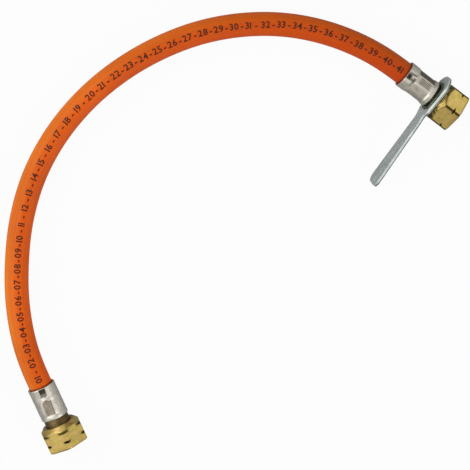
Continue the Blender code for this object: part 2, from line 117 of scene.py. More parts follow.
# Tails and washers
STEM_START = 0.0010
STEM_END = 0.0196
STEM_RADIUS = 0.003164
BARB_RADIUS = 0.003564
BARB_PITCH = 0.0034
BARB_TOOTH = 0.0031
GAS_BORE = 0.002264
FLANGE_END = 0.0202
FLANGE_RADIUS = 0.0059
GROOVE_RADIUS = 0.0047
NECK_START = 0.0218
NECK_RADIUS = 0.007937
HEAD_START = 0.0289
HEAD_END = 0.0311
HEAD_RADIUS = 0.008837
SPIGOT_END = 0.0323
WASHER_START = 0.0314
WASHER_END = 0.0332
WASHER_BORE = 0.00484

# Nuts
HEX_START = 0.0260
SHOULDER_END = 0.0286
NUT_FRONT = 0.0416
NUT_APOTHEM = 0.0125
NUT_CORNER = NUT_APOTHEM / cos(pi / 6)
CORNER_ROUND = 0.00035
NUT_HOLE = 0.008337
BACK_RADIUS = 0.0102
FRONT_RADIUS = 0.013534
BACK_SLOPE = tan(radians(45))
FRONT_SLOPE = tan(radians(30))
NOTCH_PLACE = 0.0366
NOTCH_HALF = 0.0010
NOTCH_DEPTH = 0.0014
NOTCH_EDGE = 0.00012
# Rows across a notch: share of its half width, and share of its depth
NOTCH_ROWS = ((-1.0, 0.0), (-0.96, 0.06), (-0.1, 0.98), (0.0, 1.0), (0.1, 0.98), (0.96, 0.06), (1.0, 0.0))
THREAD_MAJOR = 0.0104775
THREAD_MINOR = 0.009316
THREAD_PITCH = 0.0254 / 14
THREAD_RUN_OUT = 0.0012
THREAD_ROWS = 96

# Boss of nut a, with the rim that is staked over the lever
BOSS_START = 0.0228
STAKED_FACE = 0.0234
BOSS_RADIUS = 0.009637
BOSS_FLAT = 0.009137
STAKED_LIP = 0.0006

# Lever
LEVER_BACK = 0.0237
LEVER_THICKNESS = 0.0020
LEVER_LENGTH = 0.0670
LEVER_WIDTH = 0.0165
LEVER_FILLET = 0.0100
LEVER_TIP_CORNER = 0.0050
LEVER_RING = 0.015237
LEVER_RING_FLAT = 0.012137
LEVER_HOLE = 0.009937
LEVER_HOLE_FLAT = 0.009437
LEVER_EDGE = 0.00045
LEVER_DROP = 5.74
# Distance from the axis of the nut, and change of slope there
LEVER_BENDS = [(0.0115, 5.0), (0.0130, 5.0), (0.0165, -3.0), (0.0180, -3.5)]
LEVER_TWIST = 5.5
TWIST_START = 0.0180
# Distances from the axis of the nut at which the plate is cut across, so that it can bend and twist
LEVER_LINES = [0.0115, 0.0122, 0.0130, 0.0148, 0.0165, 0.0172, 0.0180]
LEVER_LINES += [place / 10000 for place in range(205, 606, 40)] + [0.0640]

# Camera, as the photograph was taken
TARGET = Vector((-0.007374, 0.013287, 0.008))
CAMERA_DISTANCE = 2.6
CAMERA_TILT = 13.5
CAMERA_SIDE = Vector((-0.632, 0.775, 0.0))
LENS = 318.4
SENSOR = 36.0

# Lights: name, place, side of the square and watts
SOFTBOXES = [("key", (-1.15, 0.30, 1.0), 1.9, 17.0), ("fill", (0.95, -0.75, 0.9), 1.1, 7.0)]
WORLD_STRENGTH = 0.42
# Height of a direction, and how light the room is there
ROOM_STOPS = [(0.0, 0.80), (0.30, 0.95), (0.70, 0.95), (0.93, 0.66), (1.0, 0.60)]
# Dark screens round the room: direction, level, and the cosines where the screen begins and is darkest
DARK_SCREENS = [
    ((0.35, 0.93, 0.10), 0.25, (0.80, 0.97)),
    ((-0.355, -0.824, 0.441), 0.45, (0.84, 0.985)),
    ((0.93, 0.02, 0.36), 0.50, (0.89, 0.99)),
]
FLOOR_HALF = 3.0
FLOOR_HEIGHT = -0.0001
FLOOR_GLOW = 0.95
FLOOR_LEVEL = 0.78
FLOOR_REFLECTED = 0.56


# Numbers and places

def smooth(value):
    value = min(1.0, max(0.0, value))
    return value * value * (3 - 2 * value)


def window(value, low, high, soft):
    """1 between low and high and 0 outside, with soft edges."""
    return smooth((value - low) / soft + 0.5) * smooth((high - value) / soft + 0.5)


def stroke(value, middle, half):
    """1 in the middle of a stroke, fading to both sides."""
    return exp(-((value - middle) / half) ** 2)


def between(value, points):
    """Straight lines through (place, value) points."""
    for (x0, y0), (x1, y1) in zip(points, points[1:]):
        if value <= x1:
            return y0 + (y1 - y0) * max(0.0, (value - x0) / (x1 - x0))
    return points[-1][1]


def at(value, angle):
    """A number as it is, or the value of a function at an angle in radians."""
    return value(angle) if callable(value) else value


def blend(start, end, share):
    """A function of the angle, a share of the way from start to end."""
    return lambda angle: at(start, angle) * (1 - share) + at(end, angle) * share


def fitting(end):
    """The frame of a fitting in the world."""
    place = Matrix.Translation((*MOUTHS[end], AXIS_HEIGHT))
    return place @ Matrix.Rotation(radians(HEADINGS[end]), 4, "Z")


def add_object(name, data):
    item = bpy.data.objects.new(name, data)
    bpy.context.scene.collection.objects.link(item)
    return item


def into_mesh(item):
    """The mesh of an object with its modifiers applied. The object goes."""
    mesh = bpy.data.meshes.new_from_object(item.evaluated_get(bpy.context.evaluated_depsgraph_get()))
    bpy.data.objects.remove(item)
    return mesh


class Graph:
    """The nodes of a world or a material, with short ways to add and link them."""

    def __init__(self, tree):
        self.nodes, self.links = tree.nodes, tree.links

    def add(self, kind):
        return self.nodes.new("ShaderNode" + kind)

    def put(self, socket, value):
        if isinstance(value, bpy.types.NodeSocket):
            self.links.new(value, socket)
        else:
            socket.default_value = value

    def spread(self, value, low, high, to_low=0.0, to_high=1.0, kind="LINEAR"):
        node = self.add("MapRange")
        node.interpolation_type = kind
        self.put(node.inputs[0], value)
        for socket, limit in zip(node.inputs[1:5], (low, high, to_low, to_high)):
            socket.default_value = limit
        return node.outputs[0]

    def maths(self, operation, first, second=0.0):
        node = self.add("Math")
        node.operation = operation
        self.put(node.inputs[0], first)
        self.put(node.inputs[1], second)
        return node.outputs[0]

    def finish(self, share, first, second, kind):
        """Send a mix of two shaders to a new output."""
        mix = self.add("MixShader")
        for socket, value in zip(mix.inputs, (share, first, second)):
            self.put(socket, value)
        self.put(self.add(kind).inputs[0], mix.outputs[0])


# Camera, light and floor

def add_camera():
    side = CAMERA_SIDE.normalized()
    tilt = radians(CAMERA_TILT)
    back = side * sin(tilt) + Vector((0, 0, cos(tilt)))
    right = Vector((0, 1, 0)).cross(back).normalized()
    up = back.cross(right)
    data = bpy.data.cameras.new("camera")
    data.lens = LENS
    data.sensor_width = SENSOR
    data.clip_start, data.clip_end = 0.05, 20
    camera = add_object("camera", data)
    turn = Matrix((right, up, back)).transposed().to_4x4()
    camera.matrix_world = Matrix.Translation(TARGET + back * CAMERA_DISTANCE) @ turn
    bpy.context.scene.camera = camera


def add_softbox(name, place, size, power):
    data = bpy.data.lights.new(name, "AREA")
    data.shape = "RECTANGLE"
    data.size = data.size_y = size
    data.energy = power
    light = add_object(name, data)
    light.location = place
    light.rotation_euler = (-Vector(place)).to_track_quat("-Z", "Y").to_euler()


def add_world():
    """White for the camera, a studio room for reflections and a plain soft light for the rest."""
    world = bpy.data.worlds.new("studio")
    world.use_nodes = True
    bpy.context.scene.world = world
    graph = Graph(world.node_tree)
    graph.nodes.clear()
    direction = graph.add("TexCoord").outputs["Generated"]
    split = graph.add("SeparateXYZ")
    graph.put(split.inputs[0], direction)
    ramp = graph.add("ValToRGB")
    ramp.color_ramp.interpolation = "EASE"
    stops = ramp.color_ramp.elements
    for position, _ in ROOM_STOPS[1:-1]:
        stops.new(position)
    for stop, (_, level) in zip(stops, ROOM_STOPS):
        stop.color = (level, level, level, 1.0)
    graph.put(ramp.inputs[0], split.outputs["Z"])
    light = ramp.outputs[0]
    for place, darkness, (start, end) in DARK_SCREENS:
        towards = graph.add("VectorMath")
        towards.operation = "DOT_PRODUCT"
        towards.inputs[1].default_value = Vector(place).normalized()
        graph.put(towards.inputs[0], direction)
        screen = graph.spread(towards.outputs["Value"], start, end, 1.0, darkness, "SMOOTHSTEP")
        light = graph.maths("MULTIPLY", light, screen)
    path = graph.add("LightPath").outputs
    reflected = graph.maths("MAXIMUM", path["Is Glossy Ray"], path["Is Transmission Ray"])
    room, white = graph.add("Background"), graph.add("Background")
    for shader in (room, white):
        shader.inputs["Color"].default_value = (1.0, 1.0, 1.0, 1.0)
    strength = graph.spread(reflected, 0.0, 1.0, WORLD_STRENGTH, 1.0)
    graph.put(room.inputs["Strength"], graph.maths("MULTIPLY", light, strength))
    graph.finish(path["Is Camera Ray"], room.outputs[0], white.outputs[0], "OutputWorld")


def add_floor():
    """A matt floor that takes the shadow, and glows white for the camera and through glass."""
    mesh = bpy.data.meshes.new("floor")
    corners = [(-1, -1), (1, -1), (1, 1), (-1, 1)]
    mesh.from_pydata([(x * FLOOR_HALF, y * FLOOR_HALF, 0) for x, y in corners], [], [(0, 1, 2, 3)])
    floor = add_object("floor", mesh)
    floor.location.z = FLOOR_HEIGHT
    material = bpy.data.materials.new("floor")
    material.use_nodes = True
    graph = Graph(material.node_tree)
    graph.nodes.clear()
    path = graph.add("LightPath").outputs
    matt, glow = graph.add("BsdfDiffuse"), graph.add("Emission")
    grey = graph.spread(path["Is Glossy Ray"], 0.0, 1.0, FLOOR_LEVEL, FLOOR_REFLECTED)
    graph.put(matt.inputs["Color"], grey)
    glow.inputs["Strength"].default_value = 1.0
    seen = graph.maths("MAXIMUM", path["Is Camera Ray"], path["Is Transmission Ray"])
    share = graph.maths("MULTIPLY", seen, FLOOR_GLOW)
    graph.finish(share, matt.outputs[0], glow.outputs[0], "OutputMaterial")
    mesh.materials.append(material)


# Materials

FINISHES = {}
EVEN = (1, 1, 1)


class Finish(Graph):
    """A Principled material whose patterns follow the attribute "place". A noise is given as its scale,
    stretch, detail and roughness."""

    def __init__(self, name, colour, roughness, metallic=0.0, specular=0.5):
        material = FINISHES[name] = bpy.data.materials.new(name)
        material.use_nodes = True
        super().__init__(material.node_tree)
        self.shader = self.nodes["Principled BSDF"]
        self.normal = None
        self.set("Base Color", (*colour, 1.0))
        self.set("Roughness", roughness)
        self.set("Metallic", metallic)
        self.set("Specular IOR Level", specular)

    def set(self, socket, value):
        self.put(self.shader.inputs[socket], value)

    def attribute(self, name, output="Fac"):
        node = self.add("Attribute")
        node.attribute_name = name
        return node.outputs[output]

    def axis(self, letter):
        """One coordinate of the place."""
        split = self.add("SeparateXYZ")
        self.put(split.inputs[0], self.attribute("place", "Vector"))
        return split.outputs[letter]

    def noise(self, scale, stretch=EVEN, detail=3.0, roughness=0.55):
        mapping = self.add("Mapping")
        mapping.inputs["Scale"].default_value = stretch
        self.put(mapping.inputs["Vector"], self.attribute("place", "Vector"))
        noise = self.add("TexNoise")
        self.put(noise.inputs["Vector"], mapping.outputs[0])
        for name, value in (("Scale", scale), ("Detail", detail), ("Roughness", roughness)):
            noise.inputs[name].default_value = value
        return noise.outputs[0]

    def cloud(self, noise, *limits):
        return self.spread(self.noise(*noise), *limits)

    def mix(self, share, first, second):
        node = self.add("Mix")
        node.data_type = "RGBA"
        self.put(node.inputs[0], share)
        for socket, colour in zip(node.inputs[6:8], (first, second)):
            self.put(socket, colour if isinstance(colour, bpy.types.NodeSocket) else (*colour, 1.0))
        return node.outputs[2]

    def tint(self, colour, tint, noise, *limits):
        """The colour, mixed with a tint where the noise is high."""
        return self.mix(self.cloud(noise, *limits), colour, tint)

    def bump(self, height, strength, distance):
        """Bumps by a noise or the output of a node, on top of those there are."""
        node = self.add("Bump")
        node.inputs["Strength"].default_value = strength
        node.inputs["Distance"].default_value = distance
        self.put(node.inputs["Height"], self.noise(*height) if isinstance(height, tuple) else height)
        if self.normal:
            self.put(node.inputs["Normal"], self.normal)
        self.normal = node.outputs[0]
        self.set("Normal", self.normal)


def cover_rubber():
    """Extruded orange rubber: darker and redder towards end a and paler outside the bend towards end b, both
    painted light, with patches, drag lines and bloom, and a painted shadow beside the ferrules."""
    made = Finish("cover_rubber", (0.65, 0.10, 0.005), 0.48, specular=0.14)
    along = made.axis("X")
    # Painted light: the colour darkens towards end a and pales on the outside of the bend towards end b
    colour = made.mix(made.spread(along, 0.02, 0.24), (0.62, 0.066, 0.004), (0.96, 0.138, 0.006))
    outside = made.spread(made.axis("Z"), 0.0005, 0.0062)
    painted_light_outside = made.maths("MULTIPLY", outside, made.spread(along, 0.08, 0.30, 0.32, 0.95))
    colour = made.mix(painted_light_outside, colour, (0.93, 0.235, 0.018))
    colour = made.tint(colour, (0.58, 0.078, 0.004), (28, EVEN, 4), 0.35, 0.7, 0.0, 0.35)
    colour = made.tint(colour, (0.48, 0.056, 0.003), (900, (0.02, 1, 1), 3), 0.4, 0.75, 0.0, 0.35)
    colour = made.tint(colour, (0.76, 0.20, 0.04), (350, (0.5, 1, 1), 5, 0.7), 0.58, 0.8, 0.0, 0.22)
    # Painted shadow: a dark band round the hose just outside the mouth of each ferrule
    start, end = HOSE_HELD, HOSE_LENGTH - HOSE_HELD
    mouth_shadow = made.maths("MAXIMUM", made.spread(along, start + 0.0004, start + 0.0013, 1.0, 0.0),
                       made.spread(along, end - 0.0013, end - 0.0004))
    made.set("Base Color", made.mix(made.maths("MULTIPLY", mouth_shadow, 0.8), colour, (0.10, 0.012, 0.003)))
    made.set("Roughness", made.cloud((120, (0.2, 1, 1), 4), 0.3, 0.75, 0.40, 0.56))
    made.bump((1100, (0.03, 1, 1), 3), 0.25, 0.00012)
    made.bump((2600, EVEN, 2), 0.12, 0.00005)


def print_ink():
    """Dark ink, thin in places."""
    ink, thin = (0.040, 0.012, 0.005), (0.26, 0.040, 0.005)
    made = Finish("print_ink", ink, 0.5, specular=0.2)
    made.set("Base Color", made.tint(ink, thin, (1300, EVEN, 4, 0.7), 0.42, 0.72, 0.0, 0.75))
    made.bump((2500,), 0.2, 0.00004)


def textile():
    made = Finish("textile", (0.75, 0.72, 0.62), 0.9)
    weave = made.cloud((900, (0.6, 1, 1), 2), 0.3, 0.7)
    made.set("Base Color", made.mix(weave, (0.80, 0.77, 0.68), (0.55, 0.52, 0.42)))
    made.bump(weave, 0.5, 0.0002)


def black_rubber(name):
    """Matt black, with dust."""
    made = Finish(name, (0.02, 0.02, 0.02), 0.6)
    black, dust = (0.018, 0.018, 0.018), (0.06, 0.058, 0.055)
    made.set("Base Color", made.tint(black, dust, (700, EVEN, 4), 0.5, 0.8, 0.0, 0.5))
    made.bump((2200,), 0.3, 0.00006)


def plated_steel():
    """Bright plate over pressed steel: mottling, specks, drag marks of the jaws, discoloured patches with
    painted dark reflection, and painted shade with some grease in the recesses.
    """
    made = Finish("plated_steel", (0.62, 0.58, 0.50), 0.36, 1.0)
    colour = made.tint((0.70, 0.665, 0.59), (0.55, 0.51, 0.43), (520, (0.6, 1, 1), 5, 0.65), 0.36, 0.68)
    colour = made.tint(colour, (0.36, 0.32, 0.25), (2300, (0.5, 1, 1), 2), 0.56, 0.72, 0.0, 0.5)
    # Discoloured patches, and painted shade and dark reflection on one jaw of ferrule a
    stained = made.tint((0.44, 0.37, 0.29), (0.22, 0.18, 0.13), (1500, (0.3, 1, 1), 3), 0.35, 0.65)
    colour = made.mix(made.attribute("stain"), colour, stained)
    # Painted shade in the recesses, with some grease: the colour goes near black
    shade_and_grime_share = made.cloud((1500, EVEN, 4), 0.3, 0.6, 0.95, 1.0)
    shade_and_grime_share = made.maths("MULTIPLY", made.attribute("hollow"), shade_and_grime_share)
    made.set("Base Color", made.mix(shade_and_grime_share, colour, (0.030, 0.030, 0.020)))
    made.set("Roughness", made.cloud((640, (0.4, 1, 1), 4), 0.3, 0.7, 0.30, 0.50))
    made.bump((1500, (0.25, 1, 1), 3), 0.3, 0.00010)
    made.bump((2600, EVEN, 3), 0.25, 0.00006)


def brass(name, light, dark, roughness):
    """Turned brass: tarnish in patches, warm clouds, rings round the axis, discoloured patches with rust and
    painted dark reflection, a dark coat on the boss that is painted shade under the lever with a painted
    highlight on its staked lip, painted shade with some grease in the recesses, and small knocks."""
    made = Finish(name, light, roughness, 1.0)
    colour = made.tint(light, dark, (230, EVEN, 5, 0.62), 0.36, 0.66)
    warm = [channel * share for channel, share in zip(light, (1.02, 0.82, 1.35))]
    colour = made.tint(colour, warm, (300, (1.4, 1, 1), 3, 0.6), 0.48, 0.66, 0.0, 0.75)
    ring = [channel * 0.62 for channel in dark]
    colour = made.tint(colour, ring, (2400, (1, 0.06, 0.06), 2), 0.42, 0.75, 0.0, 0.3)
    # Discoloured patches with rust, and painted dark reflection on the back cone
    stained = made.tint((0.44, 0.33, 0.10), (0.12, 0.11, 0.028), (620, EVEN, 3, 0.6), 0.38, 0.60)
    stained = made.tint(stained, (0.22, 0.12, 0.045), (480, EVEN, 3, 0.6), 0.50, 0.62, 0.0, 0.8)
    cover = made.cloud((420,), 0.35, 0.55, 0.35, 1.0)
    colour = made.mix(made.maths("MULTIPLY", made.attribute("stain"), cover), colour, stained)
    along = made.axis("X")
    # Painted highlight: a lighter stripe on the staked lip
    lip = made.maths("MULTIPLY", made.spread(along, BOSS_START, BOSS_START + 0.0002),
                     made.spread(along, STAKED_FACE - 0.0002, STAKED_FACE, 0.75, 0.0))
    wear_and_lip_highlight = made.maths("MAXIMUM", lip, made.cloud((540, (0.5, 1, 1), 3), 0.50, 0.68))
    # Painted shade: a near black coat under the lever, lighter where rubbed and on the lip
    gap_shade_colour = made.mix(wear_and_lip_highlight, (0.018, 0.026, 0.016), (0.26, 0.32, 0.22))
    colour = made.mix(made.attribute("patina"), colour, gap_shade_colour)
    # Painted shade in the recesses, with some grease
    made.set("Base Color", made.mix(made.attribute("hollow"), colour, (0.022, 0.014, 0.004)))
    made.set("Roughness", made.cloud((800, (1, 0.2, 0.2), 3), 0.3, 0.7, roughness - 0.07, roughness + 0.1))
    made.bump((2400, (1, 0.06, 0.06), 2), 0.3, 0.00006)
    made.bump((900, EVEN, 4, 0.6), 0.25, 0.00012)


def lever_steel():
    """Dull zinc plate on rolled steel: cloudy, with grain along the handle and specks, and painted light that
    makes it lighter near the ring. Its punched edge has a painted highlight on the side of the ferrule near
    the ring, and painted shade on the side of the nut."""
    made = Finish("lever_steel", (0.60, 0.62, 0.60), 0.44, 1.0)
    colour = made.tint((0.78, 0.84, 0.815), (0.57, 0.63, 0.62), (170, (0.6, 1, 1), 5, 0.65), 0.35, 0.68)
    # Painted light: the plate is lighter near the ring
    painted_light_near_ring = made.spread(made.axis("X"), 0.009, 0.018, 1.0, 0.0)
    colour = made.mix(made.maths("MULTIPLY", painted_light_near_ring, 0.6), colour, (0.86, 0.95, 0.94))
    colour = made.tint(colour, (0.38, 0.43, 0.425), (2600, (0.07, 1, 1), 2), 0.45, 0.75, 0.0, 0.42)
    colour = made.tint(colour, (0.24, 0.28, 0.27), (2100, EVEN, 2), 0.58, 0.70, 0.0, 0.5)
    depth = made.axis("Z")
    wall = made.spread(made.maths("ABSOLUTE", depth), 0.00072, 0.00094, 1.0, 0.0)
    # Painted shade on the half of the edge towards the nut, and a painted highlight on the other half near the
    # ring
    edge_shade = made.maths("MULTIPLY", wall, made.spread(depth, 0.00005, 0.00035))
    colour = made.mix(made.maths("MULTIPLY", edge_shade, 0.85), colour, (0.045, 0.050, 0.040))
    edge_highlight = made.maths("MULTIPLY", made.maths("SUBTRACT", wall, edge_shade), painted_light_near_ring)
    made.set("Base Color", made.mix(edge_highlight, colour, (0.80, 0.83, 0.76)))
    made.set("Roughness", made.cloud((480, (0.3, 1, 1), 4), 0.3, 0.7, 0.36, 0.54))
    made.bump((2600, (0.07, 1, 1), 2), 0.3, 0.00006)
    made.bump((1200, EVEN, 4), 0.2, 0.00008)


cover_rubber()
print_ink()
textile()
black_rubber("lining_rubber")
black_rubber("seal_rubber")
plated_steel()
brass("brass", (0.79, 0.60, 0.17), (0.60, 0.45, 0.11), 0.32)
brass("dull_brass", (0.60, 0.44, 0.18), (0.40, 0.29, 0.11), 0.38)
lever_steel()


# Meshes

def face_outwards(mesh):
    bm = bmesh.new()
    bm.from_mesh(mesh)
    bmesh.ops.recalc_face_normals(bm, faces=bm.faces)
    bm.to_mesh(mesh)
    bm.free()


def ring_mesh(name, rows):
    """A closed mesh through rows of points that each go round. The last row joins the first."""
    count = len(rows[0])
    columns = [(column, (column + 1) % count) for column in range(count)]
    faces = []
    for row in range(len(rows)):
        here, there = row * count, (row + 1) % len(rows) * count
        faces += [(here + left, here + right, there + right, there + left) for left, right in columns]
    mesh = bpy.data.meshes.new(name)
    mesh.from_pydata([point for row in rows for point in row], [], faces)
    face_outwards(mesh)
    return mesh


def turned(outline, angles):
    """Rows of points round X. Each point of the outline is an x and a radius, or functions of the angle."""
    rows = []
    for x, radius in outline:
        row = []
        for angle in angles:
            r = at(radius, angle)
            row.append(Vector((at(x, angle), r * cos(angle), r * sin(angle))))
        rows.append(row)
    return rows


def even_angles(columns):
    return [2 * pi * column / columns for column in range(columns)]


def angle_of(point):
    return atan2(point.z, point.y)


def radius_of(point):
    return hypot(point.y, point.z)


def rounded(outline, radius, steps, closed=True):
    """The outline with its corners rounded."""
    points = [Vector(point) for point in outline]
    result = []
    for number, point in enumerate(points):
        if not closed and number in (0, len(points) - 1):
            result.append(tuple(point))
            continue
        before, after = points[number - 1] - point, points[(number + 1) % len(points)] - point
        reach = min(radius, before.length * 0.45, after.length * 0.45)
        start, end = point + before.normalized() * reach, point + after.normalized() * reach
        for step in range(steps + 1):
            share = step / steps
            bend = start * (1 - share) ** 2 + point * 2 * share * (1 - share) + end * share ** 2
            result.append(tuple(bend))
    return result


def add_piece(name, mesh, matrix, finish, nodes=(), places=None, body="hose_assembly", slot=None,
              sharp=35.0, **layers):
    """Put a piece in the world. Each further keyword is a function that gives an attribute by place."""
    slot = slot or finish
    item = add_object(name, mesh)
    local = [vertex.co.copy() for vertex in mesh.vertices]
    layer = mesh.attributes.new("place", "FLOAT_VECTOR", "POINT")
    layer.data.foreach_set("vector", [number for place in places or local for number in place])
    for title, function in layers.items():
        layer = mesh.attributes.new(title, "FLOAT", "POINT")
        layer.data.foreach_set("value", [function(point) for point in local])
    mesh.transform(matrix)
    mesh.materials.append(FINISHES[finish])
    mesh.shade_smooth()
    mesh.set_sharp_from_angle(angle=radians(sharp))
    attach(item, body)
    if nodes:
        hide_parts(*nodes)
    return item


# Hose

def route():
    a, b = fitting("a"), fitting("b")
    points = [a @ Vector((x, 0, 0)) for x in (HOSE_HELD, 0.0, -LEAD_OUT)]
    for x, y, share in ROUTE:
        points.append(Vector((x, y, HOSE_RADIUS + share * (AXIS_HEIGHT - HOSE_RADIUS))))
    return points + [b @ Vector((x, 0, 0)) for x in (-LEAD_OUT, 0.0, HOSE_HELD)]


def smooth_curve(points, steps=24):
    spans = [after - before for before, after in zip(points, points[1:])]
    slopes = [span.normalized() for span in spans]
    tangents = [slopes[0]]
    for left, right, before, after in zip(spans, spans[1:], slopes, slopes[1:]):
        tangents.append((before * right.length + after * left.length) / (left.length + right.length))
    tangents.append(slopes[-1])
    curve = [points[0]]
    for number, span in enumerate(spans):
        reach = span.length / 3
        start, end = points[number], points[number + 1]
        handles = start + tangents[number] * reach, end - tangents[number + 1] * reach
        curve += interpolate_bezier(start, *handles, end, steps)[1:]
    return curve


class Line:
    """The middle line of the hose, with a place and a frame at each distance from end a."""

    def __init__(self, points):
        self.points = points
        self.marks = [0.0]
        for start, end in zip(points, points[1:]):
            self.marks.append(self.marks[-1] + (end - start).length)
        self.length = self.marks[-1]

    def at(self, distance):
        low = min(max(bisect_right(self.marks, distance) - 1, 0), len(self.marks) - 2)
        share = (distance - self.marks[low]) / (self.marks[low + 1] - self.marks[low])
        return self.points[low].lerp(self.points[low + 1], share)

    def frame(self, distance, step=0.002):
        """Place, side that faces out of the bend, and up."""
        before, after = self.at(max(0.0, distance - step)), self.at(min(self.length, distance + step))
        ahead = (after - before).normalized()
        out = ahead.cross(Vector((0, 0, 1))).normalized()
        return self.at(distance), out, out.cross(ahead)

    def point(self, distance, angle, radius):
        """A point at an angle in radians from the top, positive towards the outside of the bend."""
        place, out, up = self.frame(distance)
        return place + (up * cos(angle) + out * sin(angle)) * radius


def add_hose(line):
    """The three layers of the hose. Returns the cover, and the middle line at its rows."""
    def crimp(distance):
        """How far the crimp squeezes the cover in at a distance from end a."""
        inside = min(distance, line.length - distance)
        return (CRIMPED_RADIUS - HOSE_RADIUS) * (1 - smooth((inside - CRIMP_EDGE) / CRIMP_SLOPE))

    count = round(line.length / HOSE_STEP)
    even = {line.length * number / count for number in range(count + 1)}
    distances = sorted(even | set(CRIMP_ROWS) | {line.length - row for row in CRIMP_ROWS})
    angles = even_angles(HOSE_COLUMNS)
    pieces = []
    for node, name, finish, outer, inner in HOSE_LAYERS:
        rows, places = [], []
        for side, way in ((outer, distances), (inner, distances[::-1])):
            for distance in way:
                radius = side + crimp(distance) if side == HOSE_RADIUS else side
                place, out, up = line.frame(distance)
                rows.append([place + (up * cos(angle) + out * sin(angle)) * radius for angle in angles])
                places += [Vector((distance, radius * cos(angle), radius * sin(angle)))
                           for angle in angles]
        pieces.append(add_piece(name, ring_mesh(node, rows), Matrix(), finish, [node], places))
    return pieces[0], [line.at(distance) for distance in distances]


def glyph(text):
    """Flat triangles of a character, small enough to wrap round the hose, their rim and width."""
    curve = bpy.data.curves.new("glyph", "FONT")
    curve.body = text
    curve.size = PRINT_SIZE
    curve.offset = PRINT_BOLD
    curve.resolution_u = 2
    mesh = into_mesh(add_object("glyph", curve))
    bpy.data.curves.remove(curve)
    bm = bmesh.new()
    bm.from_mesh(mesh)
    bpy.data.meshes.remove(mesh)
    bmesh.ops.remove_doubles(bm, verts=bm.verts, dist=PRINT_SIZE * 0.002)
    bmesh.ops.triangulate(bm, faces=bm.faces)
    for _ in range(3):
        long = [edge for edge in bm.edges if edge.calc_length() > PRINT_EDGE]
        if long:
            bmesh.ops.subdivide_edges(bm, edges=long, cuts=1)
            bmesh.ops.triangulate(bm, faces=[face for face in bm.faces if len(face.verts) > 3])
    bm.verts.index_update()
    points = [vertex.co.xy for vertex in bm.verts]
    faces = [[vertex.index for vertex in face.verts] for face in bm.faces]
    rim = [(loop.vert.index, loop.link_loop_next.vert.index)
           for face in bm.faces for loop in face.loops if loop.edge.is_boundary]
    bm.free()
    left = min(point.x for point in points)
    width = max(point.x for point in points) - left
    return [(point.x - left, point.y) for point in points], faces, rim, width


def add_print(line):
    """A mark for each centimetre of the hose, in ink: plain numbers with a dash between."""
    glyphs = {character: glyph(character) for character in "0123456789-"}
    height = max(point[1] for point in glyphs["0"][0])
    vertices, faces, places = [], [], []

    def stamp(character, distance):
        """Put a character so that its left edge is at a distance from end a, reading towards end a."""
        points, triangles, rim, _ = glyphs[character]
        base, count = len(vertices), len(points)
        for rise in (PRINT_HALF, -PRINT_HALF):
            for x, y in points:
                along = distance - x
                drift = radians(between(along, PRINT_DRIFT))
                angle = (y - height / 2) / HOSE_RADIUS + drift
                vertices.append(line.point(along, angle, HOSE_RADIUS + rise))
                places.append(Vector((along, y, rise)))
        faces.extend([base + corner for corner in triangle] for triangle in triangles)
        faces.extend([base + count + corner for corner in reversed(triangle)] for triangle in triangles)
        faces.extend([base + right, base + count + right, base + count + left, base + left]
                     for left, right in rim)

    marks = int((line.length - 2 * HOSE_HELD) / PRINT_PITCH)
    for mark in range(1, marks + 1):
        start = line.length - HOSE_HELD - (mark - PRINT_FIRST) * PRINT_PITCH
        left = start
        for character in f"{mark:02d}":
            stamp(character, left)
            left -= glyphs[character][3] + PRINT_GAP
        if mark < marks:
            middle = (left + PRINT_GAP + start - PRINT_PITCH) / 2
            stamp("-", middle + glyphs["-"][3] / 2)
    mesh = bpy.data.meshes.new("hose_print")
    mesh.from_pydata(vertices, [], faces)
    face_outwards(mesh)
    add_piece("hose_print", mesh, Matrix(), "print_ink", places=places, slot="cover_rubber")


# Ferrules

def ferrule_base(x, ridge):
    """Radius of the ferrule before the jaws: lip, bell, waist and end rim."""
    return between(x, [
        (0.0, BELL_RADIUS - 0.00008), (0.0006, BELL_RADIUS + 0.00006), (0.0014, BELL_RADIUS),
        (0.0056, BELL_RADIUS - 0.00006), (0.0066, (BELL_RADIUS + ridge) / 2), (0.0078, ridge + 0.00006),
        (0.0090, ridge), (0.0176, ridge), (0.0188, RIM_RADIUS - 0.00014), (0.0196, RIM_RADIUS),
        (0.0208, RIM_RADIUS), (0.0212, RIM_RADIUS - 0.00006), (FERRULE_LENGTH, RIM_RADIUS - 0.00022),
    ])


def jaw_offset(angle, middle):
    """Which jaw is over an angle, counted from the middle one, and the degrees from its own middle."""
    around = (degrees(angle) - middle + 180.0) % 360.0 - 180.0
    number = round(around / JAW_PITCH)
    return number % JAWS, around - number * JAW_PITCH


def pressed(base, offset, flat, share):
    """Radius where a flat jaw has pressed a round shell."""
    face = flat / cos(radians(offset))
    return base - max(0.0, base - face) * share


